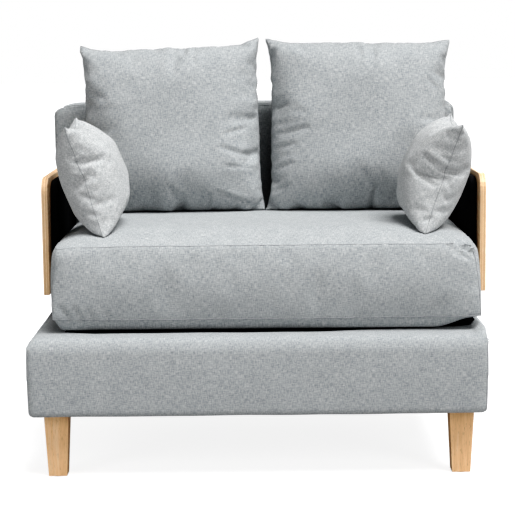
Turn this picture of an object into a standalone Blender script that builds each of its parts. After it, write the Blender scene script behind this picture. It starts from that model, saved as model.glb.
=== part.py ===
"""Upholstered armchair with plywood arms, a box base on tapered legs, and loose cushions.

Metres, +Z up. The origin lies on the floor under the middle of the whole chair, the seat faces -Y
and +X is to the right of someone looking at the chair's front.
"""
import math

import bmesh
import bpy
from mathutils import Matrix, Vector

# ---------------------------------------------------------------- driving dimensions
GAP = 0.0003              # between two pieces that touch
FRONT_Y, REAR_Y = -0.370, 0.370
BASE_X = -0.0095          # middle of the base and of the pads on it
LEGS_X = -0.0062          # middle between the left and right legs
ARMS_X = 0.0085           # the arms and everything between them stand 18 mm to the right of the base

PAD = 0.012               # foam and fabric on the base
BASE_HALF_W = 0.4605
BASE_BOTTOM, BASE_TOP = 0.137, 0.292
RAIL = 0.020              # thickness of the base boards
RAIL_BOTTOM, RAIL_TOP = 0.1445, 0.269
SLAT_W, SLAT_T, SLAT_COUNT = 0.060, 0.010, 5
BLOCK, BLOCK_T = 0.070, 0.030
DUST_T = 0.0015

LEG_X = 0.411             # leg centres either side of the legs' middle
LEG_INSET = 0.070         # leg centres behind the front, and before the rear
LEG_TOP_W, LEG_FOOT_W = 0.051, 0.037
GLIDE_R, GLIDE_T = 0.014, 0.0015
HANGER_R, HANGER_LOW = 0.004, 0.120

BACK_FRONT_Y = 0.250
BACK_TOP = 0.736
BACK_LOW_HALF_W = 0.4545  # between the arms
BACK_HIGH_X = (-0.4765, 0.463)
POST_X = (0.390, 0.430)   # inner and outer face of a post, from the arms' middle
POST_Y = (0.285, 0.330)
POST_TOP = 0.700
BACK_RAIL_H = 0.040
BACK_PLY_T = 0.005

ARM_IN, ARM_T = 0.455, 0.013
ARM_FRONT_Y, ARM_REAR_Y = -0.140, 0.365
ARM_BOTTOM, ARM_TOP, ARM_RADIUS = 0.347, 0.595, 0.035
LINER_T, LINER_FRONT_Y, LINER_REAR_Y = 0.0177, -0.095, 0.2494
LINER_MARGIN = 0.008
BOLT_R, HEAD_R, HEAD_T = 0.003, 0.008, 0.003
ARM_BOLTS = ((0.300, 0.405), (0.318, 0.471), (0.300, 0.537))     # (y, z)
POST_BOLTS_Z = (0.200, 0.245)

SEAT_HALF_W = 0.433
SEAT_Y = (-0.305, 0.244)
SEAT_BOTTOM, SEAT_SEAM_LOW, SEAT_SEAM_TOP, SEAT_CROWN = 0.2935, 0.319, 0.469, 0.4985

BACK_PILLOW = (0.390, 0.385, 0.165)      # width, height, thickness
BACK_PILLOW_X = (-0.196, 0.2175)
BACK_PILLOW_CENTRE = (0.1535, 0.6895)    # (y, z)
BACK_PILLOW_LEAN = math.radians(12)

SIDE_PILLOW = (0.262, 0.240, 0.140)      # front to rear, height, thickness
SIDE_PILLOW_CENTRE = (0.364, -0.127, 0.602)
SIDE_PILLOW_LEAN = math.radians(18)
SIDE_PILLOW_RISE = math.radians(2)


# ---------------------------------------------------------------- materials
def material(name, colour, roughness, metallic=0.0):
    mat = bpy.data.materials.new(name)
    mat.use_nodes = True
    shader = mat.node_tree.nodes["Principled BSDF"]
    shader.inputs["Base Color"].default_value = (*colour, 1.0)
    shader.inputs["Roughness"].default_value = roughness
    shader.inputs["Metallic"].default_value = metallic
    mat.diffuse_color = (*colour, 1.0)
    return mat


# ---------------------------------------------------------------- shapes
def add_object(name, mesh, mat, location=(0.0, 0.0, 0.0)):
    obj = bpy.data.objects.new(name, mesh)
    bpy.context.collection.objects.link(obj)
    obj.location = location
    mesh.materials.append(mat)
    return obj


def finish_mesh(bm, name):
    bmesh.ops.recalc_face_normals(bm, faces=bm.faces)
    if bm.calc_volume(signed=True) < 0:
        bmesh.ops.reverse_faces(bm, faces=bm.faces)
    mesh = bpy.data.meshes.new(name)
    bm.to_mesh(mesh)
    bm.free()
    return mesh


def box(name, xs, ys, zs, mat, bevel=0.0):
    """A box between two corners, with its origin in its middle."""
    low, high = Vector((min(xs), min(ys), min(zs))), Vector((max(xs), max(ys), max(zs)))
    bm = bmesh.new()
    bmesh.ops.create_cube(bm, size=1.0)
    bmesh.ops.scale(bm, vec=high - low, verts=bm.verts)
    obj = add_object(name, finish_mesh(bm, name), mat, (low + high) / 2)
    if bevel:
        add_bevel(obj, bevel)
    return obj


def add_bevel(obj, width, segments=2):
    bevel = obj.modifiers.new("edges", "BEVEL")
    bevel.width = width
    bevel.segments = segments
    bevel.limit_method = "ANGLE"
    bevel.angle_limit = math.radians(40)


def cylinder(name, radius, length, mat, location, axis="Z", sides=16):
    bm = bmesh.new()
    bmesh.ops.create_cone(bm, cap_ends=True, segments=sides, radius1=radius, radius2=radius, depth=length)
    turn = {"X": Matrix.Rotation(math.pi / 2, 3, "Y"), "Y": Matrix.Rotation(math.pi / 2, 3, "X")}
    if axis in turn:
        bmesh.ops.rotate(bm, matrix=turn[axis], verts=bm.verts)
    mesh = finish_mesh(bm, name)
    mesh.shade_smooth()
    mesh.set_sharp_from_angle(angle=math.radians(40))
    return add_object(name, mesh, mat, location)


def cut(obj, cutter):
    """Take a cutter's space out of a piece. The cutter itself isn't a piece."""
    cutter.hide_render = True
    cutter.display_type = "WIRE"
    boolean = obj.modifiers.new("cut " + cutter.name, "BOOLEAN")
    boolean.operation = "DIFFERENCE"
    boolean.solver = "EXACT"
    boolean.object = cutter


def plate(name, outline, x_in, x_out, mat):
    """An outline of (y, z) points in the side view, given a thickness between two x values."""
    bm = bmesh.new()
    face = bm.faces.new([bm.verts.new((min(x_in, x_out), y, z)) for y, z in outline])
    grown = bmesh.ops.extrude_face_region(bm, geom=[face])
    moved = [v for v in grown["geom"] if isinstance(v, bmesh.types.BMVert)]
    bmesh.ops.translate(bm, vec=(abs(x_out - x_in), 0.0, 0.0), verts=moved)
    return add_object(name, finish_mesh(bm, name), mat)


def rounded_panel(y_front, y_rear, z_low, z_high, radius, steps=6):
    """Side outline with square lower corners and round upper corners."""
    points = [(y_front, z_low), (y_rear, z_low)]
    for centre_y, start in ((y_rear - radius, 0.0), (y_front + radius, math.pi / 2)):
        for i in range(steps + 1):
            angle = start + math.pi / 2 * i / steps
            points.append((centre_y + radius * math.cos(angle), z_high - radius + radius * math.sin(angle)))
    return points


def revolved_bolt(name, mat, location, direction, shank, axis):
    """A bolt with a flat round head, whose shank runs along +direction from the head's underside."""
    bm = bmesh.new()
    profile = [(0.0, -HEAD_T), (HEAD_R, -HEAD_T), (HEAD_R, 0.0), (BOLT_R, 0.0), (BOLT_R, shank), (0.0, shank)]
    verts = [bm.verts.new((r, 0.0, z)) for r, z in profile]
    edges = [bm.edges.new(pair) for pair in zip(verts, verts[1:])]
    bmesh.ops.spin(bm, geom=verts + edges, axis=(0, 0, 1), cent=(0, 0, 0), steps=12, angle=2 * math.pi)
    bmesh.ops.remove_doubles(bm, verts=bm.verts, dist=0.00005)
    turn = {"X": Matrix.Rotation(direction * math.pi / 2, 3, "Y"),
            "Y": Matrix.Rotation(-direction * math.pi / 2, 3, "X")}[axis]
    bmesh.ops.rotate(bm, matrix=turn, verts=bm.verts)
    return add_object(name, finish_mesh(bm, name), mat, location)


def pillow(name, size, mat, steps=10):
    """A square pillow with a thin edge: two crowned faces that meet in one rim, in the local XZ plane."""
    width, height, thickness = size
    bm = bmesh.new()
    grid = {}
    for side in (-1, 1):
        for i in range(steps + 1):
            for j in range(steps + 1):
                u, v = -1 + 2 * i / steps, -1 + 2 * j / steps
                rim = abs(u) == 1 or abs(v) == 1
                if rim and side == 1:
                    grid[side, i, j] = grid[-1, i, j]
                    continue
                pull = 1 - 0.05 * (1 - v * v) * u * u, 1 - 0.05 * (1 - u * u) * v * v
                crown = ((1 - u ** 4) * (1 - v ** 4)) ** 0.6
                point = (u * pull[0] * width / 2, side * crown * thickness / 2, v * pull[1] * height / 2)
                grid[side, i, j] = bm.verts.new(point)
    for side in (-1, 1):
        for i in range(steps):
            for j in range(steps):
                corners = [grid[side, a, b] for a, b in ((i, j), (i + 1, j), (i + 1, j + 1), (i, j + 1))]
                bm.faces.new(corners[::-side])
    mesh = finish_mesh(bm, name)
    mesh.shade_smooth()
    return add_object(name, mesh, mat)


# ---------------------------------------------------------------- the base
def build_base(wood, fabric, dust_fabric):
    inner = BASE_HALF_W - PAD - 0.0005
    front, rear = FRONT_Y + PAD + 0.0005, POST_Y[1] + GAP
    rail_z = (RAIL_BOTTOM, RAIL_TOP)
    full = (BASE_X - inner, BASE_X + inner)
    box("base_front_rail", full, (front, front + RAIL), rail_z, wood)
    rear_rail = box("base_rear_rail", full, (rear, rear + RAIL), rail_z, wood)
    between = (front + RAIL + GAP, POST_Y[0] - GAP)
    for side, name in ((-1, "base_left_rail"), (1, "base_right_rail")):
        box(name, (BASE_X + side * (inner - RAIL), BASE_X + side * inner), between, rail_z, wood)
    middle = (BASE_X - RAIL / 2, BASE_X + RAIL / 2)
    box("base_centre_rail", middle, (front + RAIL + GAP, rear - GAP), rail_z, wood)

    slat_z = (RAIL_TOP + GAP, RAIL_TOP + GAP + SLAT_T)
    first, last = FRONT_Y + 0.075, POST_Y[0] - 0.065
    for i in range(SLAT_COUNT):
        y = first + (last - first) * i / (SLAT_COUNT - 1)
        box(f"deck_slat_{i + 1}", full, (y - SLAT_W / 2, y + SLAT_W / 2), slat_z, wood)

    top_low = slat_z[1] + GAP
    whole = (BASE_X - BASE_HALF_W, BASE_X + BASE_HALF_W)
    top_pad = box("base_top_pad", whole, (FRONT_Y, REAR_Y), (top_low, BASE_TOP), fabric, bevel=0.004)
    pad_z = (BASE_BOTTOM, top_low - GAP)
    box("base_front_pad", whole, (FRONT_Y, FRONT_Y + PAD), pad_z, fabric, bevel=0.004)
    box("base_rear_pad", whole, (REAR_Y - PAD, REAR_Y), pad_z, fabric, bevel=0.004)
    sides = (FRONT_Y + PAD + GAP, REAR_Y - PAD - GAP)
    for side, name in ((-1, "base_left_pad"), (1, "base_right_pad")):
        xs = (BASE_X + side * (BASE_HALF_W - PAD), BASE_X + side * BASE_HALF_W)
        box(name, xs, sides, pad_z, fabric, bevel=0.004)

    dust_z = (RAIL_BOTTOM - GAP - DUST_T, RAIL_BOTTOM - GAP)
    dust = box("dust_cover", full, (front, REAR_Y - PAD - 0.0005), dust_z, dust_fabric)
    return rear_rail, top_pad, dust


def leg_mesh(name, top_z):
    """A square leg that tapers the same on all four sides."""
    bm = bmesh.new()
    rings = []
    for z, width in ((GLIDE_T + GAP, LEG_FOOT_W), (top_z, LEG_TOP_W)):
        half = width / 2
        rings.append([bm.verts.new((x * half, y * half, z)) for x, y in ((-1, -1), (1, -1), (1, 1), (-1, 1))])
    low, high = rings
    bm.faces.new(reversed(low))
    bm.faces.new(high)
    for i in range(4):
        bm.faces.new((low[i], low[(i + 1) % 4], high[(i + 1) % 4], high[i]))
    return finish_mesh(bm, name)


def build_legs(wood, leg_wood, steel, plastic, dust):
    leg_top = RAIL_BOTTOM - GAP
    front_block = FRONT_Y + PAD + 0.0005 + RAIL + GAP
    for x_side, x_name in ((-1, "left"), (1, "right")):
        for y_side, y_name in ((-1, "front"), (1, "rear")):
            corner = f"{y_name}_{x_name}"
            x = LEGS_X + x_side * LEG_X
            y = FRONT_Y + LEG_INSET if y_side < 0 else REAR_Y - LEG_INSET - 0.005
            leg = add_object(f"leg_{corner}", leg_mesh(f"leg_{corner}", leg_top), leg_wood, (x, y, 0.0))
            cut(leg, cylinder("cut_leg_" + corner, HANGER_R + 0.0004, 0.060, steel, (x, y, HANGER_LOW + 0.029)))
            cylinder(f"leg_glide_{corner}", GLIDE_R, GLIDE_T, plastic, (x, y, GLIDE_T / 2), sides=20)

            block_y = (front_block, front_block + BLOCK) if y_side < 0 else (POST_Y[1] - BLOCK, POST_Y[1])
            outer = BASE_X + x_side * (BASE_HALF_W - PAD - 0.0005 - RAIL - GAP)
            if y_side > 0:
                block_y = (POST_Y[0] - GAP - BLOCK, POST_Y[1])
            block = box(f"leg_block_{corner}", (outer, outer - x_side * BLOCK), block_y,
                        (RAIL_BOTTOM, RAIL_BOTTOM + BLOCK_T), wood)
            cut(block, cylinder("cut_block_" + corner, HANGER_R + 0.0004, 0.060, steel, (x, y, RAIL_BOTTOM)))
            top = RAIL_BOTTOM + BLOCK_T - 0.002
            cylinder(f"hanger_bolt_{corner}", HANGER_R, top - HANGER_LOW, steel, (x, y, (top + HANGER_LOW) / 2))
            room = LEG_TOP_W / 2 + 0.001
            cut(dust, box("cut_dust_" + corner, (x - room, x + room), (y - room, y + room),
                          (RAIL_BOTTOM - 0.02, RAIL_BOTTOM + 0.02), wood))


# ---------------------------------------------------------------- the back
def build_back(wood, ply, steel, fabric, rear_rail, top_pad):
    post_z = (RAIL_BOTTOM + BLOCK_T + GAP, POST_TOP)
    rail_x = (ARMS_X - POST_X[0] + GAP, ARMS_X + POST_X[0] - GAP)
    rail_low = BASE_TOP + 0.010
    wide = (ARMS_X - POST_X[1], ARMS_X + POST_X[1])
    ply_y = (POST_Y[1] + GAP, POST_Y[1] + GAP + BACK_PLY_T)
    box("back_top_rail", rail_x, POST_Y, (POST_TOP - BACK_RAIL_H, POST_TOP), wood)
    box("back_lower_rail", rail_x, POST_Y, (rail_low, rail_low + BACK_RAIL_H), wood)
    box("back_panel", wide, ply_y, (rail_low, POST_TOP), ply)

    cover = build_back_cover(fabric)
    room = 0.0005
    hollows = {
        "cut_cover_top_rail": (wide, POST_Y, (POST_TOP - BACK_RAIL_H, POST_TOP)),
        "cut_cover_lower_rail": (wide, POST_Y, (rail_low, rail_low + BACK_RAIL_H)),
        "cut_cover_panel": (wide, (POST_Y[1] - 0.01, ply_y[1]), (rail_low, POST_TOP)),
    }
    for side, name in ((-1, "left"), (1, "right")):
        xs = sorted((ARMS_X + side * POST_X[0], ARMS_X + side * POST_X[1]))
        post = box(f"back_post_{name}", xs, POST_Y, post_z, wood)
        hollows[f"cut_cover_post_{name}"] = (xs, POST_Y, (BASE_TOP - 0.05, POST_TOP))
        slot = [(x + s * room) for x, s in zip(xs, (-1, 1))]
        cut(top_pad, box("cut_pad_post_" + name, slot, (POST_Y[0] - room, POST_Y[1] + room),
                         (BASE_TOP - 0.05, BASE_TOP + 0.05), wood))
        block_x = (ARMS_X + side * (POST_X[1] + GAP), ARMS_X + side * (ARM_IN - GAP))
        block_z = (ARM_BOLTS[0][1] - 0.030, ARM_BOLTS[-1][1] + 0.030)
        block = box(f"arm_block_{name}", block_x, POST_Y, block_z, wood)
        far = ARMS_X + side * (ARM_IN + 0.02)
        hollows[f"cut_cover_block_{name}"] = (sorted((ARMS_X + side * (POST_X[1] - 0.01), far)), POST_Y, block_z)
        bolt_arm(side, name, steel, post, block)
        bolt_post(side, name, steel, post, rear_rail)
    for name, (xs, ys, zs) in hollows.items():
        spread = [(pair[0] - room, pair[1] + room) for pair in (xs, ys, zs)]
        cut(cover, box(name, *spread, wood))


def build_back_cover(fabric):
    """The padded back: wide above the arms, and between them below."""
    low_z, step_z = BASE_TOP + GAP, ARM_TOP + 0.012
    left, right = ARMS_X - BACK_LOW_HALF_W, ARMS_X + BACK_LOW_HALF_W
    outline = [(left, low_z), (right, low_z), (right, BACK_TOP), (BACK_HIGH_X[0], BACK_TOP),
               (BACK_HIGH_X[0], step_z), (left, step_z)]
    bm = bmesh.new()
    face = bm.faces.new([bm.verts.new((x, BACK_FRONT_Y, z)) for x, z in outline])
    grown = bmesh.ops.extrude_face_region(bm, geom=[face])
    moved = [v for v in grown["geom"] if isinstance(v, bmesh.types.BMVert)]
    bmesh.ops.translate(bm, vec=(0.0, REAR_Y - BACK_FRONT_Y, 0.0), verts=moved)
    cover = add_object("back_cover", finish_mesh(bm, "back_cover"), fabric)
    add_bevel(cover, 0.010)
    return cover


def bolt_arm(side, name, steel, post, block):
    """Three bolts hold an arm panel, through its block, to the back's post."""
    shank = 0.060
    under_head = ARMS_X + side * (ARM_IN + ARM_T - HEAD_T - 0.0004)
    for number, (y, z) in enumerate(ARM_BOLTS, start=1):
        revolved_bolt(f"arm_bolt_{name}_{number}", steel, (under_head, y, z), -side, shank, "X")
        middle = ARMS_X + side * (ARM_IN - 0.020)
        hole = cylinder(f"cut_arm_{name}_{number}", BOLT_R + 0.0004, 0.085, steel, (middle, y, z), "X", sides=12)
        cut(post, hole)
        cut(block, hole)


def bolt_post(side, name, steel, post, rear_rail):
    """Two bolts through the rear rail hold each post."""
    x = ARMS_X + side * sum(POST_X) / 2
    y = POST_Y[1] + GAP + RAIL
    for number, z in enumerate(POST_BOLTS_Z, start=1):
        revolved_bolt(f"post_bolt_{name}_{number}", steel, (x, y + 0.0003, z), -1, 0.045, "Y")
        hole = cylinder(f"cut_post_{name}_{number}", BOLT_R + 0.0004, 0.070, steel, (x, y - 0.018, z), "Y", sides=12)
        cut(post, hole)
        cut(rear_rail, hole)


# ---------------------------------------------------------------- the arms
def build_arms(ply, black_fabric, steel):
    panel_outline = rounded_panel(ARM_FRONT_Y, ARM_REAR_Y, ARM_BOTTOM, ARM_TOP, ARM_RADIUS)
    margin = LINER_MARGIN
    liner_outline = rounded_panel(LINER_FRONT_Y, LINER_REAR_Y, ARM_BOTTOM + margin, ARM_TOP - margin,
                                  ARM_RADIUS - margin)
    for side, name in ((-1, "left"), (1, "right")):
        inner, outer = ARMS_X + side * ARM_IN, ARMS_X + side * (ARM_IN + ARM_T)
        panel = plate(f"arm_panel_{name}", panel_outline, inner, outer, ply)
        add_bevel(panel, 0.0012, segments=1)
        for number, (y, z) in enumerate(ARM_BOLTS, start=1):
            cut(panel, cylinder(f"cut_shank_{name}_{number}", BOLT_R + 0.0004, 0.05, steel, (inner, y, z), "X", 12))
            cut(panel, cylinder(f"cut_head_{name}_{number}", HEAD_R + 0.0006, 2 * (HEAD_T + 0.0008), steel,
                                (outer, y, z), "X", sides=20))
        near = ARMS_X + side * (ARM_IN - GAP)
        liner = plate(f"arm_liner_{name}", liner_outline, near, near - side * LINER_T, black_fabric)
        add_bevel(liner, 0.004)


# ---------------------------------------------------------------- the loose cushions
def build_seat_cushion(fabric, across=12, along=8):
    """A boxed cushion: a crowned top, a nearly flat bottom, and straight sides between two seams."""
    middle_y = sum(SEAT_Y) / 2
    half_y = (SEAT_Y[1] - SEAT_Y[0]) / 2
    bm = bmesh.new()
    sheets = {}
    for level, seam, crown in (("top", SEAT_SEAM_TOP, SEAT_CROWN), ("low", SEAT_SEAM_LOW, SEAT_BOTTOM)):
        for i in range(across + 1):
            for j in range(along + 1):
                u, v = -1 + 2 * i / across, -1 + 2 * j / along
                swell = (1 - abs(u) ** 3) * (1 - abs(v) ** 3)
                if level == "low":
                    swell = swell ** 0.35
                point = (u * SEAT_HALF_W, v * half_y, seam + (crown - seam) * swell)
                sheets[level, i, j] = bm.verts.new(point)
    for i in range(across):
        for j in range(along):
            for level in ("top", "low"):
                bm.faces.new([sheets[level, a, b] for a, b in ((i, j), (i + 1, j), (i + 1, j + 1), (i, j + 1))])
    rim = [(i, 0) for i in range(across)] + [(across, j) for j in range(along)]
    rim += [(i, along) for i in range(across, 0, -1)] + [(0, j) for j in range(along, 0, -1)]
    for here, there in zip(rim, rim[1:] + rim[:1]):
        bm.faces.new([sheets["low", *here], sheets["low", *there], sheets["top", *there], sheets["top", *here]])
    mesh = finish_mesh(bm, "seat_cushion")
    return add_object("seat_cushion", mesh, fabric, (ARMS_X, middle_y, 0.0))


def build_pillows(fabric):
    for x, name in zip(BACK_PILLOW_X, ("left", "right")):
        obj = pillow(f"back_pillow_{name}", BACK_PILLOW, fabric)
        obj.location = (x, *BACK_PILLOW_CENTRE)
        obj.rotation_euler = (-BACK_PILLOW_LEAN, 0.0, 0.0)
    reach, y, z = SIDE_PILLOW_CENTRE
    for side, name in ((-1, "left"), (1, "right")):
        obj = pillow(f"side_pillow_{name}", SIDE_PILLOW, fabric)
        turn = Matrix.Rotation(side * SIDE_PILLOW_LEAN, 4, "Y") @ Matrix.Rotation(SIDE_PILLOW_RISE, 4, "X")
        turn = turn @ Matrix.Rotation(math.pi / 2, 4, "Z")
        obj.matrix_world = Matrix.Translation((ARMS_X + side * reach, y, z)) @ turn


def main():
    for obj in list(bpy.data.objects):
        bpy.data.objects.remove(obj, do_unlink=True)
    wood = material("frame pine", (0.60, 0.42, 0.24), 0.6)
    leg_wood = material("leg hardwood", (0.62, 0.40, 0.20), 0.45)
    ply = material("plywood", (0.66, 0.45, 0.25), 0.45)
    steel = material("zinc plated steel", (0.62, 0.62, 0.64), 0.35, 1.0)
    plastic = material("brown plastic", (0.36, 0.21, 0.10), 0.5)
    fabric = material("grey linen weave", (0.40, 0.42, 0.43), 0.95)
    black_fabric = material("black arm fabric", (0.015, 0.015, 0.017), 0.9)
    dust_fabric = material("black non-woven", (0.02, 0.02, 0.022), 0.95)

    rear_rail, top_pad, dust = build_base(wood, fabric, dust_fabric)
    build_legs(wood, leg_wood, steel, plastic, dust)
    build_back(wood, ply, steel, fabric, rear_rail, top_pad)
    build_arms(ply, black_fabric, steel)
    build_seat_cushion(fabric)
    build_pillows(fabric)


main()
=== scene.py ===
"""Looks of the wide armchair: woven upholstery, cloth-simulated cushions, plywood arms and oak legs.

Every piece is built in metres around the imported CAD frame. The seat faces -Y and +X is to the
right of someone looking at the chair's front.
"""

import math

import bmesh
import bpy
import numpy as np
from mathutils import Euler, Matrix, Vector, noise
from mathutils.bvhtree import BVHTree
from mathutils.kdtree import KDTree


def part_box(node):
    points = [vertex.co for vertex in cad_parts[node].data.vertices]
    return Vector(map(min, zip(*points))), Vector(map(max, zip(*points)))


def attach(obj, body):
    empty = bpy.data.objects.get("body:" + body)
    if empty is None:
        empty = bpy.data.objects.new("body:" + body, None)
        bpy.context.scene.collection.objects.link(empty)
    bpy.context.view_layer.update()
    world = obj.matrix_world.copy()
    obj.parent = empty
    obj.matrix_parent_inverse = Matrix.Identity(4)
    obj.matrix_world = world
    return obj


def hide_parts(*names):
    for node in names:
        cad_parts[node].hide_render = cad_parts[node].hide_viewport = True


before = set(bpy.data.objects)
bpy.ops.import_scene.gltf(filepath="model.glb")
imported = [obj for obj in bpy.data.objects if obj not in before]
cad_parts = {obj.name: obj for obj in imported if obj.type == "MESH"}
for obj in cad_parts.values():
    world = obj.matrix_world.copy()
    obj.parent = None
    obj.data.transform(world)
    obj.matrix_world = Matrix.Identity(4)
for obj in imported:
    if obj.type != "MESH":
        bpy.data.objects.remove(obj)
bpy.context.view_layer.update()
noise.seed_set(7)                   # noise_vector() would start from the clock, and differ in each run

WEAVE = "weave"                     # the UV map that the cloth's threads follow, in metres
SEAM_R = 0.0007                     # radius of the rolled edge that shows at a sewn seam
SEAM_TOP, SEAM_LOW = 0.469, 0.319   # heights of the seat cushion's two seams

DECK_X = (-0.400, 0.440)            # the black cloth on the deck under the cushion, laid up to where the cushion's shade ends, so it paints that shade black (painted shade)
DECK_SHADE_FRONT, DECK_REAR = -0.302, 0.235
DECK_SHADE_CUT_RIGHT, DECK_SHADE_CUT_LEFT = 0.058, 0.020   # how far its front corners are cut back, to follow where the cushion's shadow ends on the deck (painted shadow)

PILLOW_TIPS = (-0.321, 0.337)       # where the side pillows' lowest corners press into the seat

FLAT_PUFF = 0.012                   # how far the middle of an unfilled pillow's panel stands out
ON_SEAT = 0.0008                    # space left between a pillow and the seat under it
SHOULDER_IN = 0.007                 # how far the back's upper right edge stands in

BACK_LEAN = math.radians(12)
SIDE_LEAN, SIDE_RISE = math.radians(18), math.radians(2)
SIDES = ((-1, "left"), (1, "right"))

# creases pressed into the covers, as seen from the front: start and end (x, z), depth and width
SEAT_FOLDS = (                      # at the top right corner, then at the low left one
    ((0.398, 0.467), (0.438, 0.446), 0.0130, 0.0048),
    ((0.412, 0.472), (0.448, 0.461), 0.0100, 0.0045),
    ((0.392, 0.455), (0.428, 0.437), 0.0070, 0.0050),
    ((0.380, 0.466), (0.396, 0.452), 0.0035, 0.0050),
    ((-0.385, 0.322), (-0.414, 0.356), 0.0050, 0.0060),
    ((-0.364, 0.322), (-0.384, 0.350), 0.0045, 0.0055),
    ((-0.340, 0.322), (-0.352, 0.344), 0.0035, 0.0055),
    ((-0.310, 0.322), (-0.316, 0.340), 0.0030, 0.0050),
)
BACK_FOLDS = {
    "left": (
        ((-0.072, 0.674), (-0.024, 0.686), 0.0035, 0.0048),
        ((-0.084, 0.644), (-0.015, 0.620), 0.0042, 0.0056),
        ((-0.072, 0.602), (-0.009, 0.595), 0.0031, 0.0048),
        ((-0.092, 0.541), (-0.005, 0.508), 0.0042, 0.0056),
        ((-0.130, 0.520), (-0.134, 0.552), 0.0021, 0.0048),
        ((-0.112, 0.520), (-0.114, 0.546), 0.0021, 0.0048),
        ((-0.150, 0.862), (-0.140, 0.820), 0.0021, 0.0056),
        ((-0.185, 0.862), (-0.178, 0.830), 0.0017, 0.0056),
    ),
    "right": (
        ((0.106, 0.685), (0.034, 0.667), 0.0042, 0.0056),
        ((0.078, 0.650), (0.032, 0.636), 0.0035, 0.0048),
        ((0.072, 0.608), (0.030, 0.588), 0.0035, 0.0048),
        ((0.064, 0.560), (0.020, 0.535), 0.0031, 0.0048),
        ((0.222, 0.866), (0.232, 0.832), 0.0024, 0.0056),
        ((0.300, 0.520), (0.300, 0.545), 0.0021, 0.0048),
        ((0.380, 0.790), (0.400, 0.765), 0.0028, 0.0048),
    ),
}
SIDE_FOLDS = {
    "left": (
        ((-0.352, 0.597), (-0.385, 0.604), 0.0030, 0.0050),
        ((-0.338, 0.560), (-0.372, 0.568), 0.0030, 0.0050),
        ((-0.330, 0.525), (-0.352, 0.530), 0.0020, 0.0050),
        ((-0.350, 0.655), (-0.374, 0.668), 0.0020, 0.0050),
    ),
    "right": (
        ((0.340, 0.638), (0.380, 0.611), 0.0065, 0.0065),
        ((0.374, 0.614), (0.424, 0.598), 0.0060, 0.0060),
        ((0.324, 0.602), (0.366, 0.577), 0.0060, 0.0060),
        ((0.336, 0.510), (0.358, 0.516), 0.0030, 0.0050),
        ((0.392, 0.690), (0.420, 0.684), 0.0030, 0.0040),
    ),
}


# ---------------------------------------------------------------- mesh helpers
def new_object(name, verts, faces):
    mesh = bpy.data.meshes.new(name)
    mesh.from_pydata([tuple(v) for v in verts], [], faces)
    mesh.update()
    obj = bpy.data.objects.new(name, mesh)
    bpy.context.scene.collection.objects.link(obj)
    return obj


def points_of(obj):
    flat = np.empty(len(obj.data.vertices) * 3)
    obj.data.vertices.foreach_get("co", flat)
    return flat.reshape(-1, 3)


def set_points(obj, points):
    obj.data.vertices.foreach_set("co", np.ascontiguousarray(points).ravel())
    obj.data.update()


def normals_of(obj):
    flat = np.empty(len(obj.data.vertices) * 3)
    obj.data.vertices.foreach_get("normal", flat)
    return flat.reshape(-1, 3)


def smooth(obj, sharp_over):
    obj.data.shade_smooth()
    obj.data.set_sharp_from_angle(angle=math.radians(sharp_over))


def bake_modifiers(obj):
    """Replace the mesh by what its modifiers make of it, and drop them."""
    graph = bpy.context.evaluated_depsgraph_get()
    mesh = bpy.data.meshes.new_from_object(obj.evaluated_get(graph))
    obj.modifiers.clear()
    obj.data = mesh


def subdivide(obj):
    sub = obj.modifiers.new("sub", "SUBSURF")
    sub.levels = sub.render_levels = 1
    bake_modifiers(obj)


def weave_uv(obj):
    """Lay the weave on the mesh panel by panel: each face takes the two axes that it lies along."""
    mesh = obj.data
    layer = mesh.uv_layers.get(WEAVE) or mesh.uv_layers.new(name=WEAVE)
    for face in mesh.polygons:
        x, y, z = (abs(c) for c in face.normal)
        pick = (0, 1) if z >= x and z >= y else ((1, 2) if x > y else (0, 2))
        for loop in face.loop_indices:
            co = mesh.vertices[mesh.loops[loop].vertex_index].co
            layer.data[loop].uv = (co[pick[0]], co[pick[1]])


def tube(name, points, radius, closed=False, sides=6):
    """A thin round bead of thread or fabric along a line of points."""
    points = [Vector(p) for p in points]
    count = len(points)
    verts, faces = [], []
    guide = None
    for i, here in enumerate(points):
        before = points[i - 1] if closed or i else here
        after = points[(i + 1) % count] if closed or i + 1 < count else here
        along = (after - before).normalized()
        if guide is None:
            guide = along.orthogonal().normalized()
        guide = (guide - guide.dot(along) * along).normalized()
        across = along.cross(guide)
        for k in range(sides):
            turn = 2 * math.pi * k / sides
            verts.append(here + radius * (math.cos(turn) * guide + math.sin(turn) * across))
    for i in range(count if closed else count - 1):
        j = (i + 1) % count
        for k in range(sides):
            m = (k + 1) % sides
            faces.append((i * sides + k, i * sides + m, j * sides + m, j * sides + k))
    if not closed:
        faces.append(tuple(range(sides))[::-1])
        faces.append(tuple((count - 1) * sides + k for k in range(sides)))
    obj = new_object(name, verts, faces)
    smooth(obj, 80)
    weave_uv(obj)
    return obj


def join(target, *others):
    """Merge other objects' meshes into the target, keeping their UVs and material slots."""
    bm = bmesh.new()
    bm.from_mesh(target.data)
    for other in others:
        start = len(target.data.materials)
        for mat in other.data.materials:
            target.data.materials.append(mat)
        count = len(bm.faces)
        bm.from_mesh(other.data)
        bm.faces.ensure_lookup_table()
        for face in bm.faces[count:]:
            face.material_index += start
        bpy.data.objects.remove(other)
    bm.to_mesh(target.data)
    bm.free()


def drop_faces(obj, test):
    bm = bmesh.new()
    bm.from_mesh(obj.data)
    gone = [face for face in bm.faces if test(np.array(face.calc_center_median()))]
    bmesh.ops.delete(bm, geom=gone, context="FACES")
    bm.to_mesh(obj.data)
    bm.free()


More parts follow.
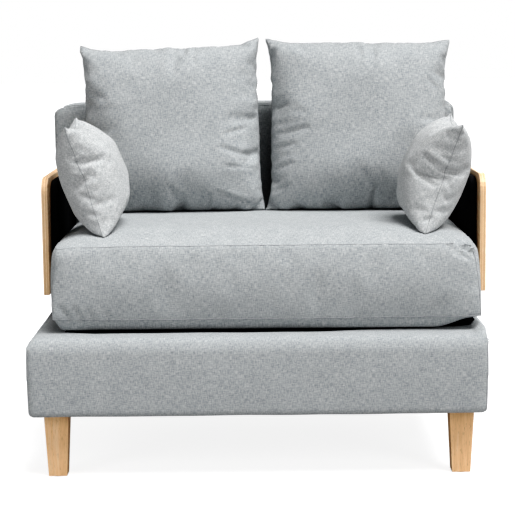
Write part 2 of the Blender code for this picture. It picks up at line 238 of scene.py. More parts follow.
def boxed_shell(name, lo, hi, counts):
    """A closed box of square cells. Returns it with the number of each vertex by its grid place (i, j, k)."""
    index, verts, faces = {}, [], []
    lo, hi = np.array(lo), np.array(hi)

    def vertex(key):
        if key not in index:
            index[key] = len(verts)
            verts.append(lo + (hi - lo) * np.array(key) / np.array(counts))
        return index[key]

    for axis in range(3):
        a, b = [k for k in range(3) if k != axis]
        for end in (0, counts[axis]):
            for i in range(counts[a]):
                for j in range(counts[b]):
                    keys = []
                    for da, db in ((0, 0), (1, 0), (1, 1), (0, 1)):
                        key = [0, 0, 0]
                        key[axis], key[a], key[b] = end, i + da, j + db
                        keys.append(vertex(tuple(key)))
                    outward = (end > 0) == (axis != 1)
                    faces.append(keys if outward else keys[::-1])
    return new_object(name, verts, faces), index


def ring(index, counts, level):
    """The vertices of one horizontal seam, in order round the box."""
    nx, ny, _ = counts
    keys = [(i, 0) for i in range(nx)] + [(nx, j) for j in range(ny)]
    keys += [(i, ny) for i in range(nx, 0, -1)] + [(0, j) for j in range(ny, 0, -1)]
    return [index[(i, j, level)] for i, j in keys]


def rounded(points, lo, hi, radii):
    """Round the edges of a box's surface points. radii are along X, Y and Z."""
    radii = np.array(radii)
    inner_lo, inner_hi = lo + radii, hi - radii
    core = np.clip(points, inner_lo, inner_hi)
    offset = (points - core) / radii
    length = np.linalg.norm(offset, axis=1, keepdims=True)
    outside = np.where(length > 1e-9, offset / np.maximum(length, 1e-9), 0)
    return core + outside * radii


def rounded_along(points, lo, hi, axis, radii):
    """Round only the edges of a box that run along one axis."""
    radii = np.where(np.arange(3) == axis, 1.0, radii)
    inner = np.clip(points, lo + radii, hi - radii)
    offset = (points - inner) / radii
    offset[:, axis] = 0
    length = np.linalg.norm(offset, axis=1, keepdims=True)
    moved = inner + offset / np.maximum(length, 1) * radii
    moved[:, axis] = points[:, axis]
    return moved


def soft_limit(values, limit, side, reach):
    """Press values that pass a limit back onto it, starting gently a little before it."""
    over = side * (values - limit) + reach
    pressed = np.where(over > 0, reach * (1 - np.exp(-np.maximum(over, 0) / reach)), over)
    return limit + side * (pressed - reach)


def height_over(obj):
    """A function that gives the top of an object under each point."""
    mesh = obj.data
    tree = BVHTree.FromPolygons([v.co for v in mesh.vertices], [p.vertices for p in mesh.polygons])

    def top(points):
        hits = [tree.ray_cast(Vector((p[0], p[1], 2.0)), Vector((0, 0, -1)))[0] for p in points]
        return np.array([hit.z if hit else -1.0 for hit in hits])

    return top


# ---------------------------------------------------------------- cloth
def simulate(obj, volume, bending, tension, frames=30, pressure=4.0, gather=0.0, group="", held="",
             slack=0.0):
    """Inflate a closed cloth shell, to a volume where one is given. The group's threads are gathered
    shorter, held is a group that stays where it is, and slack is spare length in all of the cloth."""
    mod = obj.modifiers.new("cloth", "CLOTH")
    cloth = mod.settings
    cloth.quality = 5
    cloth.mass = 0.2
    cloth.tension_stiffness = cloth.compression_stiffness = tension
    cloth.shear_stiffness = tension * 0.4
    cloth.bending_stiffness = bending
    cloth.use_pressure = True
    cloth.uniform_pressure_force = pressure
    if volume:
        cloth.use_pressure_volume = True
        cloth.target_volume = volume
        cloth.pressure_factor = 5.0
    cloth.effector_weights.gravity = 0.0
    if group:
        cloth.vertex_group_shrink = group
        cloth.shrink_max = gather
    if held:
        cloth.vertex_group_mass = held
        cloth.pin_stiffness = 50.0
        cloth.shrink_min = -slack
    mod.collision_settings.use_collision = False
    mod.point_cache.frame_start, mod.point_cache.frame_end = 1, frames
    scene = bpy.context.scene
    for number in range(1, frames + 1):
        scene.frame_set(number)
    bake_modifiers(obj)
    scene.frame_set(1)


def fit_to(points, size):
    """Scale points about the middle of their box to a size."""
    low, high = points.min(axis=0), points.max(axis=0)
    return (points - (low + high) / 2) * (np.array(size) / (high - low))


def pucker(obj, seams, depth, reach, seed=0.0):
    """Draw the cloth into short wrinkles across its seams, as a tight thread does."""
    samples, places = [], []
    for seam in seams:
        run = np.concatenate([[0.0], np.cumsum(np.linalg.norm(np.diff(seam, axis=0), axis=1))])
        fine = np.arange(0.0, run[-1], 0.001)
        samples.append(np.column_stack([np.interp(fine, run, seam[:, axis]) for axis in range(3)]))
        places.append(fine + len(places))
    samples, places = np.concatenate(samples), np.concatenate(places)
    tree = KDTree(len(samples))
    for i, sample in enumerate(samples):
        tree.insert(sample, i)
    tree.balance()
    points = points_of(obj)
    nearest = [tree.find(point)[1:] for point in points]
    wave = np.array([noise.noise(Vector((places[i] * 55, seed, 0.0))) for i, _ in nearest])
    fade = np.exp(-(np.array([gap for _, gap in nearest]) / reach) ** 1.5)
    set_points(obj, points - normals_of(obj) * (2 * depth * wave * fade)[:, None])


def fold(obj, start, end, depth, width):
    """Press one tapering crease into the front of a cover, between two (x, z) points seen from the front,
    with a soft ridge along its upper side."""
    points, normals = points_of(obj), normals_of(obj)
    start, line = np.array(start), np.array(end) - np.array(start)
    flat = points[:, [0, 2]]
    along = np.clip((flat - start) @ line / (line @ line), 0, 1)
    apart = flat - (start + along[:, None] * line)
    distance = np.linalg.norm(apart, axis=1) / width
    taper = np.sin(math.pi * np.clip(0.15 + along * 0.85, 0, 1)) ** 0.6
    press = np.exp(-distance ** 2) - 0.35 * np.exp(-(distance - 1.7) ** 2) * (apart[:, 1] > 0)
    facing = np.clip(-3 * normals[:, 1], 0, 1)
    set_points(obj, points - normals * (depth * taper * press * facing)[:, None])


def crease_edges(obj, line, weight=0.7):
    pairs = {frozenset(pair) for pair in zip(line, line[1:] + line[:1])}
    layer = obj.data.attributes.get("crease_edge") or obj.data.attributes.new("crease_edge", "FLOAT", "EDGE")
    for edge in obj.data.edges:
        if frozenset(edge.vertices) in pairs:
            layer.data[edge.index].value = weight


# ---------------------------------------------------------------- node helpers
class Nodes:
    """Short names for the nodes that the materials below use."""

    def __init__(self, name):
        self.mat = bpy.data.materials.new(name)
        self.mat.use_nodes = True
        self.tree = self.mat.node_tree
        self.shader = self.tree.nodes["Principled BSDF"]

    def link(self, source, target):
        if isinstance(source, (int, float, tuple)):
            target.default_value = source
        else:
            self.tree.links.new(source, target)

    def add(self, kind, **settings):
        node = self.tree.nodes.new("ShaderNode" + kind)
        for key, value in settings.items():
            setattr(node, key, value)
        return node

    def place(self, scale, uv="", offset=(0.0, 0.0, 0.0)):
        if uv:
            source = self.add("UVMap", uv_map=uv).outputs["UV"]
        else:
            source = self.add("TexCoord").outputs["Object"]
        mapping = self.add("Mapping")
        mapping.inputs["Scale"].default_value = scale
        mapping.inputs["Location"].default_value = offset
        self.link(source, mapping.inputs["Vector"])
        return mapping.outputs["Vector"]

    def noise(self, vector, detail, roughness=0.5, distortion=0.0):
        node = self.add("TexNoise")
        self.link(vector, node.inputs["Vector"])
        node.inputs["Scale"].default_value = 1.0
        node.inputs["Detail"].default_value = detail
        node.inputs["Roughness"].default_value = roughness
        node.inputs["Distortion"].default_value = distortion
        return node.outputs["Fac"]

    def math(self, operation, a, b=0.0, clamp=False):
        node = self.add("Math", operation=operation, use_clamp=clamp)
        self.link(a, node.inputs[0])
        self.link(b, node.inputs[1])
        return node.outputs[0]

    def ramp(self, value, stops):
        node = self.add("ValToRGB")
        ramp = node.color_ramp
        while len(ramp.elements) < len(stops):
            ramp.elements.new(0.5)
        for element, (position, colour) in zip(ramp.elements, stops):
            element.position = position
            element.color = (*colour, 1.0)
        self.link(value, node.inputs["Fac"])
        return node.outputs["Color"]

    def mix(self, factor, a, b):
        node = self.add("Mix", data_type="RGBA")
        self.link(factor, node.inputs["Factor"])
        self.link(a, node.inputs["A"])
        self.link(b, node.inputs["B"])
        return node.outputs["Result"]

    def bump(self, height, distance, strength):
        node = self.add("Bump")
        node.inputs["Distance"].default_value = distance
        node.inputs["Strength"].default_value = strength
        self.link(height, node.inputs["Height"])
        return node.outputs["Normal"]

    def finish(self, colour, roughness, normal=None, **sockets):
        self.link(colour, self.shader.inputs["Base Color"])
        self.link(roughness, self.shader.inputs["Roughness"])
        if normal is not None:
            self.link(normal, self.shader.inputs["Normal"])
        for key, value in sockets.items():
            self.shader.inputs[key.replace("_", " ")].default_value = value
        return self.mat


# ---------------------------------------------------------------- materials
def linen(name, dark, middle, light):
    """A plain weave of mixed yarn: threads both ways, each with its own streaks, thick places and flecks."""
    n = Nodes(name)
    warp = n.noise(n.place((600, 100, 1), WEAVE), detail=3, roughness=0.65)
    weft = n.noise(n.place((95, 640, 1), WEAVE, (7.3, 2.1, 0)), detail=3, roughness=0.65)
    fleck = n.noise(n.place((950, 950, 1), WEAVE, (3.7, 9.2, 0)), detail=1)
    cloud = n.noise(n.place((26, 26, 1), WEAVE), detail=3)
    threads = n.math("ADD", n.math("MULTIPLY", warp, 0.42), n.math("MULTIPLY", weft, 0.42))
    threads = n.math("ADD", threads, n.math("MULTIPLY", fleck, 0.16))
    threads = n.math("ADD", threads, n.math("MULTIPLY", n.math("SUBTRACT", cloud, 0.5), 0.07))
    colour = n.ramp(threads, ((0.37, dark), (0.50, middle), (0.63, light)))

    across = n.add("SeparateXYZ")
    n.link(n.place((1, 1, 1), WEAVE), across.inputs[0])
    pitch = math.pi / 0.0011
    ribs = [n.math("SINE", n.math("MULTIPLY", across.outputs[axis], pitch)) for axis in ("X", "Y")]
    weave = n.math("MULTIPLY", ribs[0], ribs[1])
    height = n.math("ADD", n.math("MULTIPLY", weave, 0.35), threads)
    normal = n.bump(height, 0.0009, 0.55)
    return n.finish(colour, 0.95, normal, Sheen_Weight=0.12, Sheen_Roughness=0.6, Specular_IOR_Level=0.2)


def black_cloth(name):
    n = Nodes(name)
    threads = n.noise(n.place((900, 900, 1), WEAVE), detail=2)
    cloud = n.noise(n.place((30, 30, 1), WEAVE), detail=2)
    tone = n.math("ADD", n.math("MULTIPLY", threads, 0.6), n.math("MULTIPLY", cloud, 0.4))
    colour = n.ramp(tone, ((0.3, (0.010, 0.010, 0.011)), (0.7, (0.030, 0.030, 0.033))))
    normal = n.bump(threads, 0.0006, 0.6)
    return n.finish(colour, 0.92, normal, Specular_IOR_Level=0.05)


def timber(name, dark, middle, light, along, roughness, flecks):
    """Planed hardwood: wavy growth bands along one axis, fine grain, and short dark pores."""
    n = Nodes(name)

    def stretched(fine, slow):
        return tuple(slow if axis == along else fine for axis in range(3))

    bands = n.noise(n.place(stretched(60.0, 3.0)), detail=3, roughness=0.6, distortion=0.6)
    grain = n.noise(n.place(stretched(520, 14.0)), detail=3, roughness=0.7)
    pores = n.noise(n.place(stretched(900, 55.0)), detail=2, roughness=0.6)
    tone = n.math("ADD", n.math("MULTIPLY", bands, 0.62), n.math("MULTIPLY", grain, 0.38))
    colour = n.ramp(tone, ((0.34, dark), (0.50, middle), (0.66, light)))
    holes = n.math("MULTIPLY", n.math("SUBTRACT", pores, 0.60, clamp=True), 6.0 * flecks, clamp=True)
    colour = n.mix(holes, colour, (*(c * 0.45 for c in dark), 1.0))
    height = n.math("SUBTRACT", n.math("MULTIPLY", grain, 0.5), holes)
    normal = n.bump(height, 0.0005, 0.35)
    shine = n.math("ADD", roughness, n.math("MULTIPLY", holes, 0.3))
    return n.finish(colour, shine, normal, Specular_IOR_Level=0.4)


def plywood(name, inner_x, outer_x, plies=5):
    """Veneer on the faces and bare plies on the edges, from the place across the board's thickness."""
    n = Nodes(name)
    split = n.add("SeparateXYZ")
    n.link(n.add("TexCoord").outputs["Object"], split.inputs[0])
    depth = n.add("MapRange", clamp=True)
    n.link(split.outputs["X"], depth.inputs["Value"])
    depth.inputs["From Min"].default_value = inner_x
    depth.inputs["From Max"].default_value = outer_x
    wobble = n.noise(n.place((60, 9, 9)), detail=2)
    place = n.math("ADD", n.math("MULTIPLY", depth.outputs[0], 0.95), 0.025)
    place = n.math("ADD", place, n.math("MULTIPLY", n.math("SUBTRACT", wobble, 0.5), 0.02))
    layer = n.math("MULTIPLY", place, float(plies))
    odd = n.math("MODULO", n.math("FLOOR", layer), 2.0)
    glue = n.math("ABSOLUTE", n.math("SUBTRACT", n.math("FRACT", layer), 0.5))
    glue = n.math("MULTIPLY", n.math("SUBTRACT", glue, 0.43, clamp=True), 9.0, clamp=True)

    grain = n.noise(n.place((90, 5, 90)), detail=4, roughness=0.65, distortion=0.4)
    fine = n.noise(n.place((700, 22, 700)), detail=2, roughness=0.6)
    end_grain = n.noise(n.place((900, 900, 900)), detail=2)
    tone = n.math("ADD", n.math("MULTIPLY", grain, 0.6), n.math("MULTIPLY", fine, 0.4))
    veneer = n.ramp(tone, ((0.34, (0.80, 0.50, 0.28)), (0.5, (0.93, 0.64, 0.40)), (0.66, (0.98, 0.76, 0.54))))
    ends = n.ramp(end_grain, ((0.35, (0.66, 0.41, 0.22)), (0.65, (0.84, 0.56, 0.33))))
    colour = n.mix(odd, veneer, ends)
    colour = n.mix(glue, colour, (0.34, 0.19, 0.09, 1.0))
    normal = n.bump(n.math("ADD", n.math("MULTIPLY", fine, 0.6), n.math("MULTIPLY", glue, -0.5)), 0.0004, 0.4)
    return n.finish(colour, 0.42, normal, Specular_IOR_Level=0.45)


def steel(name):
    n = Nodes(name)
    brushed = n.noise(n.place((300, 300, 300)), detail=3)
    colour = n.ramp(brushed, ((0.3, (0.48, 0.49, 0.50)), (0.7, (0.66, 0.67, 0.68))))
    rough = n.math("ADD", 0.28, n.math("MULTIPLY", brushed, 0.15))
    return n.finish(colour, rough, n.bump(brushed, 0.0002, 0.3), Metallic=1.0)


def moulded_plastic(name):
    n = Nodes(name)
    grain = n.noise(n.place((800, 800, 800)), detail=2)
    colour = n.ramp(grain, ((0.3, (0.30, 0.17, 0.08)), (0.7, (0.42, 0.26, 0.13))))
    return n.finish(colour, 0.55, n.bump(grain, 0.0003, 0.4))


def floor_paint(name):
    """Pale studio floor, lifted to near white for the eye but not as a light on the chair."""
    n = Nodes(name)
    speck = n.noise(n.place((6, 6, 6)), detail=2)
    colour = n.ramp(speck, ((0.2, (0.36, 0.36, 0.36)), (0.8, (0.39, 0.39, 0.39))))
    n.shader.inputs["Emission Color"].default_value = (1, 1, 1, 1)
    glow = n.math("MULTIPLY", n.add("LightPath").outputs["Is Camera Ray"], 0.86)
    n.link(glow, n.shader.inputs["Emission Strength"])
    return n.finish(colour, 0.9, Specular_IOR_Level=0.0)


GREY = ((0.215, 0.238, 0.252), (0.395, 0.415, 0.425), (0.615, 0.620, 0.612))
PINE = ((0.52, 0.34, 0.17), (0.70, 0.50, 0.28), (0.78, 0.60, 0.38))
OAK = ((0.78, 0.46, 0.24), (0.95, 0.585, 0.315), (1.00, 0.71, 0.45))
BIRCH = ((0.62, 0.46, 0.28), (0.74, 0.58, 0.38), (0.82, 0.68, 0.48))


# darker copies of the one grey linen: painted shade on the parts that take less light
def shaded_grey(share):
    return tuple(tuple(share * c for c in colour) for colour in GREY)


M = {
    "linen": linen("grey linen", *GREY),
    # base, back pillows and seat wear the same grey linen made darker by a share: painted shade
    "linen_base_shaded": linen("grey linen base shaded", *shaded_grey(0.90)),
    "linen_pillow_shaded": linen("grey linen pillow shaded", *shaded_grey(0.93)),
    "linen_seat_shaded": linen("grey linen seat shaded", *shaded_grey(0.95)),
    # a lighter, warmer copy of the grey linen for the side pillows: the warmer tone is their own, and part of
    # the lightness is painted light making up for the light they lack
    "linen_side_lit": linen("grey linen side lit", (0.260, 0.277, 0.286), (0.478, 0.490, 0.494),
                         (0.722, 0.722, 0.711)),
    # seam beads in a darker grey: painted shade of the grooves along the sewn seams
    "seam_shade": linen("seam line", (0.17, 0.18, 0.19), (0.28, 0.29, 0.30), (0.42, 0.43, 0.435)),
    "black": black_cloth("black arm cloth"),
    "oak": timber("leg oak", *OAK, along=2, roughness=0.45, flecks=0.9),
    "pine_x": timber("pine across", *PINE, along=0, roughness=0.6, flecks=0.2),
    "pine_y": timber("pine lengthways", *PINE, along=1, roughness=0.6, flecks=0.2),
    "pine_z": timber("pine upright", *PINE, along=2, roughness=0.6, flecks=0.2),
    "birch": timber("birch slats", *BIRCH, along=0, roughness=0.55, flecks=0.1),
    "steel": steel("zinc plated steel"),
    "plastic": moulded_plastic("brown plastic"),
}


def give(obj, mat):
    obj.data.materials.clear()
    obj.data.materials.append(mat)


def dress_nodes():
    """Better materials on the CAD pieces that keep their own shape."""
    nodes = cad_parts
    along_x = ("leg_block", "base_front_rail", "base_rear_rail", "back_top_rail", "back_lower_rail")
    for name, obj in nodes.items():
        if name.startswith(("hanger_bolt", "arm_bolt", "post_bolt")):
            give(obj, M["steel"])
        elif name.startswith("leg_glide"):
            give(obj, M["plastic"])
        elif name.startswith(along_x):
            give(obj, M["pine_x"])
        elif name.startswith(("base_left_rail", "base_right_rail", "base_centre_rail")):
            give(obj, M["pine_y"])
        elif name.startswith(("back_post", "arm_block", "back_panel")):
            give(obj, M["pine_z"])
        elif name.startswith("deck_slat"):
            give(obj, M["birch"])
        elif name.startswith("leg_"):
            give(obj, M["oak"])
    for side, name in SIDES:
        low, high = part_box(f"arm_panel_{name}")
        inner, outer = (high[0], low[0]) if side < 0 else (low[0], high[0])
        give(nodes[f"arm_panel_{name}"], plywood(f"arm plywood {name}", inner, outer))


# ---------------------------------------------------------------- pillows
def pillow_shell(name, width, height, steps, taper, ear):
    """Two square panels sewn at the rim, cut narrower towards the corners, each of which keeps a small
    ear. Returns the shell, its rim in order, and the grid place (i, j) of each vertex."""
    verts, faces, index, grid = [], [], {}, []
    for side in (-1, 1):
        for i in range(steps + 1):
            for j in range(steps + 1):
                u, v = -1 + 2 * i / steps, -1 + 2 * j / steps
                rim = i in (0, steps) or j in (0, steps)
                if rim and side == 1:
                    index[side, i, j] = index[-1, i, j]
                    continue
                index[side, i, j] = len(verts)
                grid.append((i, j))
                puff = side * FLAT_PUFF * math.sqrt((1 - u * u) * (1 - v * v))
                horn = 1 + ear * abs(u * v) ** 8
                verts.append((u * width / 2 * (1 - taper * v * v) * horn, puff,
                              v * height / 2 * (1 - taper * u * u) * horn))
    for side in (-1, 1):
        for i in range(steps):
            for j in range(steps):
                face = [index[side, a, b] for a, b in ((i, j), (i + 1, j), (i + 1, j + 1), (i, j + 1))]
                faces.append(face[::-side])
    rim = [index[-1, i, 0] for i in range(steps)] + [index[-1, steps, j] for j in range(steps)]
    rim += [index[-1, i, steps] for i in range(steps, 0, -1)] + [index[-1, 0, j] for j in range(steps, 0, -1)]
    obj = new_object(name, verts, faces)
    group = obj.vertex_groups.new(name="rim")
    group.add(rim, 1.0, "REPLACE")
    return obj, rim, np.array(grid)


def straighten(points, rim, grid, steps, size, dips, amount=0.85):
    """Draw the rim towards its resting outline, and keep the panels inside it. dips says how far the sides
    and the top bend in between their corners, as shares of half the size; the lower edge lies nearly flat."""
    rim_grid = grid[rim]
    bends = {(0, -1): (dips[0], 6), (0, 1): (dips[0], 6), (2, 1): (dips[1], 9), (2, -1): (0.010, 12)}
    for axis, own, other in ((0, 0, 1), (2, 1, 0)):
        ends = []
        for end, side in ((0, -1), (steps, 1)):
            line = np.empty(steps + 1)
            on_edge = rim_grid[:, own] == end
            places = rim_grid[on_edge][:, other]
            line[places] = points[np.array(rim)[on_edge], axis]
            t = np.abs(np.linspace(-1, 1, steps + 1))
            dip, power = bends[axis, side]
            target = side * size[axis] / 2 * (1 - dip * (1 - t ** power))
            ends.append((line, amount * (target - line)))
        share, across = grid[:, own] / steps, grid[:, other]
        points[:, axis] += (1 - share) * ends[0][1][across] + share * ends[1][1][across]
        inner = (share > 0) & (share < 1)
        for (line, shift), side in zip(ends, (-1, 1)):
            kept = soft_limit(points[:, axis], (line + shift)[across], side, 0.003)
            points[:, axis] = np.where(inner, kept, points[:, axis])
    return points


def make_pillow(name, size, cover, volume, taper, ear, gather, bending, tension, steps, turn, spot, squeeze,
                fuller, seed, folds, cloth, crimp, dips=None):
    """Sew, fill, turn and place one pillow. fuller(points) says how much thicker it is at each point, and
    squeeze(points) presses it against what it leans on."""
    obj, rim, grid = pillow_shell(name, cover, cover * size[2] / size[0], steps, taper, ear)
    wander = Vector((seed * 1.7, seed * 0.9, seed * 2.3))
    start = points_of(obj)
    for point in start:
        point[1] += 0.002 * noise.noise(Vector(point) * 14 + wander)
    set_points(obj, start)
    weave_uv(obj)
    simulate(obj, volume, bending=bending, tension=tension, gather=gather, group="rim")
    points = fit_to(points_of(obj), size)
    points[:, 1] *= fuller(points)
    if dips:
        points = straighten(points, rim, grid, steps, size, dips)
    points = np.array([turn @ Vector(p) + Vector(spot) for p in points])
    set_points(obj, squeeze(points))
    subdivide(obj)
    pucker(obj, [points_of(obj)[rim + rim[:1]]], crimp, 0.020, seed)
    for start, end, depth, width in folds:
        fold(obj, start, end, depth, width)
    give(obj, cloth)
    smooth(obj, 70)
    edge = tube(name + "_edge", points_of(obj)[rim], SEAM_R, closed=True)
    give(edge, M["seam_shade"])
    join(obj, edge)
    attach(obj, name)
    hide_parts(name)
    return obj


# ---------------------------------------------------------------- seat cushion
def make_seat():
    """A boxed foam cushion. Both sewn seams are held where they lie while the panels swell between them."""
    low, high = (np.array(corner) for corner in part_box("seat_cushion"))
    middle = (low + high) / 2
    counts = (66, 42, 12)
    half = (high - low) / 2 - (0.002, 0.001, 0)
    half[2] = (SEAM_TOP - SEAM_LOW) / 2
    middle[2] = (SEAM_TOP + SEAM_LOW) / 2
    obj, index = boxed_shell("seat_cushion", -half, half, counts)
    top, bottom = ring(index, counts, counts[2]), ring(index, counts, 0)
    corners = [(i, j) for i in (0, counts[0]) for j in (0, counts[1])]
    uprights = [[index[(i, j, k)] for k in range(counts[2] + 1)] for i, j in corners]
    weave_uv(obj)
    square = points_of(obj)                                             # corners: tight below, full above
    rise = ((square[:, 2] / half[2] + 1) / 2)[:, None]
    points = rounded(square, -half, half, (0.004, 0.004, 0.0004)) * (1 - rise)
    points += rounded(square, -half, half, (0.024, 0.022, 0.0004)) * rise
    u, v, w = (np.abs(points[:, k]) / half[k] for k in range(3))
    corner = (u * v) ** 14                                              # pinched in at the sewn corners
    upper = points[:, 2] > 0
    pinch = np.where(upper, -0.004, 0.003) * corner * w
    points[:, :2] *= (1 + 0.004 * np.maximum(u, v) ** 8 * (1 - w ** 2) + pinch)[:, None]
    points[:, 0] += 0.006 * np.clip(points[:, 0] / half[0], 0, 1) ** 12 * (1 - rise[:, 0])
    u, v = np.minimum(u, 1), np.minimum(v, 1)
    inset = np.minimum((1 - u) * half[0], (1 - v) * half[1])            # lip below the lower seam
    lifted = np.clip((points[:, 0] - 0.355) / 0.055, 0, 1) * np.clip((-points[:, 1] - 0.12) / 0.12, 0, 1)
    lip = (SEAM_LOW - low[2] - 0.0005) * (1 - np.exp(-inset / 0.005)) * (1 - 0.8 * lifted)
    dome = (high[2] - SEAM_TOP - 0.004) * (1 - u ** 8) * (1 - v ** 5)
    flat = w > 0.999
    points[:, 2] += np.where(flat, np.where(upper, dome, -lip), 0)
    points[:, 2] -= np.where(upper, 1, -0.35) * 0.009 * corner * w
    for k in top + bottom:                                              # seams wander a little
        points[k] += 0.0007 * np.array(noise.noise_vector(Vector(points[k]) * 60))
    set_points(obj, points)
    held = obj.vertex_groups.new(name="held")
    underside = [int(v) for v in np.flatnonzero(flat & ~upper)]
    held.add(top + underside + [v for line in uprights for v in line[:5]], 1.0, "REPLACE")
    simulate(obj, 0.0, frames=24, pressure=3.0, bending=2.0, tension=80.0, held="held", slack=0.004)
    points = points_of(obj) + middle
    obj.vertex_groups.clear()
    points[:, 2] = soft_limit(points[:, 2], low[2], -1, 0.004)
    points[:, 2] = soft_limit(points[:, 2], high[2], 1, 0.006)
    for x in PILLOW_TIPS:
        away = np.hypot(points[:, 0] - x, points[:, 1] + 0.235)
        points[:, 2] -= np.where(points[:, 2] > SEAM_TOP - 0.01, 0.006 * np.exp(-(away / 0.045) ** 2), 0)
    set_points(obj, points)
    for line in [top, bottom] + [line[:7] for line in uprights]:
        crease_edges(obj, line)
    subdivide(obj)
    settled = points_of(obj)
    pucker(obj, [settled[line] for line in (top + top[:1], bottom + bottom[:1], *uprights)], 0.0007, 0.014)
    for start, end, depth, width in SEAT_FOLDS:
        fold(obj, start, end, depth, width)
    give(obj, M["linen_seat_shaded"])
    smooth(obj, 70)
    settled = points_of(obj)
    seams = [tube("seam", settled[line], SEAM_R) for line in uprights]
    seams.append(tube("seam", settled[top], 0.0005, closed=True))
    seams.append(tube("seam", settled[bottom], 0.0011, closed=True))
    # the darker grey of the seam beads is painted shade of the seam grooves
    for seam in seams:
        give(seam, M["seam_shade"])
    join(obj, *seams)
    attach(obj, "seat_cushion")
    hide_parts("seat_cushion")
    return obj


# ---------------------------------------------------------------- base and back upholstery
def make_base_cover():
    """One sewn cover over the base's foam, turned under its lower edge."""
    low, high = (np.array(corner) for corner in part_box("base_top_pad"))
    low += (0.002, 0, 0)
    low[2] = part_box("base_front_pad")[0][2] - 0.003
    counts = (96, 110, 30)
    obj, index = boxed_shell("base_cover", low, high, counts)
    weave_uv(obj)
    points = points_of(obj)
    upper = points[:, 2] > (low[2] + high[2]) / 2
    round_low = rounded(points, low, high, (0.012, 0.010, 0.010))
    side_edges = np.where(points[:, :1] < (low[0] + high[0]) / 2, (0.014, 0.0, 0.028), (0.008, 0.0, 0.010))
    round_top = points
    for axis, radii in ((0, (0.0, 0.022, 0.030)), (1, side_edges), (2, (0.006, 0.006, 0.0))):
        round_top = rounded_along(round_top, low, high, axis, radii)
    points = np.where(upper[:, None], round_top, round_low)
    middle = (low + high) / 2
    share = (points - middle) / ((high - low) / 2)
    swell = np.clip(1 - share ** 2, 0, 1)
    points[:, 0] += np.sign(share[:, 0]) * 0.001 * (np.abs(share[:, 0]) > 0.97) * swell[:, 2]
    points[:, 1] += np.sign(share[:, 1]) * 0.003 * (np.abs(share[:, 1]) > 0.96) * swell[:, 2]
    rim = np.clip((points[:, 0] - high[0] + 0.020) / 0.012, 0, 1)       # the right edge stands up
    rim *= np.clip((points[:, 1] - low[1] - 0.012) / 0.03, 0, 1)
    points[:, 2] += 0.015 * rim * (points[:, 2] > high[2] - 0.02)
    for point in points:
        point += 0.0012 * np.array(noise.noise_vector(Vector(point) * 9))
    set_points(obj, points)
    give(obj, M["linen_base_shaded"])
    tuck = (high - low)[:2] / 2 - 0.03
    drop_faces(obj, lambda c: c[2] < low[2] + 0.002 and np.all(np.abs(c[:2] - middle[:2]) < tuck))
    seams = []
    settled = points_of(obj)
    for i, j in ((0, 0), (counts[0], 0), (counts[0], counts[1]), (0, counts[1])):
        seams.append(tube("seam", settled[[index[(i, j, k)] for k in range(1, counts[2])]], SEAM_R))
    solid = obj.modifiers.new("cloth thickness", "SOLIDIFY")
    solid.thickness = 0.003
    solid.offset = -1
    bake_modifiers(obj)
    smooth(obj, 70)
    for seam in seams:
        give(seam, M["seam_shade"])
    join(obj, *seams)
    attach(obj, "root")
    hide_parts(*(f"base_{part}_pad" for part in ("top", "front", "rear", "left", "right")))
    return obj


def make_deck_shade_cloth(base):
    """The black cloth that covers the deck under the seat cushion, glued down along its edges. Its front edge
    follows the edge of the cushion's shadow, so it also paints that shadow black.
    """
    nx, ny = 64, 40
    verts, faces = [], []
    for j in range(ny + 1):
        for i in range(nx + 1):
            x = DECK_X[0] + (DECK_X[1] - DECK_X[0]) * i / nx
            # the front edge bends back towards the corners along the edge of the cushion's shadow: painted
            # shadow
            front = DECK_SHADE_FRONT + DECK_SHADE_CUT_RIGHT * max(0.0, (x - 0.05) / 0.39) ** 1.5
            front += DECK_SHADE_CUT_LEFT * max(0.0, (-0.34 - x) / 0.06)
            verts.append((x, front + (DECK_REAR - front) * j / ny, 0.0))
    for j in range(ny):
        for i in range(nx):
            k = j * (nx + 1) + i
            faces.append((k, k + 1, k + nx + 2, k + nx + 1))
    obj = new_object("deck_shade_cloth", verts, faces)
    points = points_of(obj)
    points[:, 2] = height_over(base)(points) + 0.0003
    set_points(obj, points)
    solid = obj.modifiers.new("cloth thickness", "SOLIDIFY")
    solid.thickness = 0.0004
    solid.offset = 1
    bake_modifiers(obj)
    weave_uv(obj)
    give(obj, M["black"])
    smooth(obj, 60)
    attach(obj, "root")
    return obj


def softened(node, voxel, rounds):
    """A smooth padded copy of a CAD soft piece."""
    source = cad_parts[node]
    obj = bpy.data.objects.new(node, source.data.copy())
    obj.matrix_world = source.matrix_world
    bpy.context.scene.collection.objects.link(obj)
    remesh = obj.modifiers.new("remesh", "REMESH")
    remesh.mode = "VOXEL"
    remesh.voxel_size = voxel
    relax = obj.modifiers.new("relax", "SMOOTH")
    relax.factor = 0.5
    relax.iterations = rounds
    bake_modifiers(obj)
    return obj


def make_back_cover():
    obj = softened("back_cover", voxel=0.008, rounds=8)
    points = points_of(obj)
    low, high = (np.array(corner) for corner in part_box("back_cover"))
    round_shoulders(points, low, high)
    for point in points:
        point += 0.0015 * np.array(noise.noise_vector(Vector(point) * 8 + Vector((3, 1, 2))))
    set_points(obj, points)
    weave_uv(obj)
    give(obj, M["linen"])
    smooth(obj, 70)
    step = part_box("arm_panel_left")[1][2] + 0.012
    seams = []
    for y in (low[1], high[1]):
        line = np.array([(x, y, z) for x, z in back_edge(low, high, step)])
        line = rounded(line, low, high, (0.012, 0.009, 0.012))
        round_shoulders(line, low, high)
        seams.append(tube("seam", line, SEAM_R))
    for seam in seams:
        give(seam, M["seam_shade"])
    join(obj, *seams)
    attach(obj, "root")
    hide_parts("back_cover")
    return obj


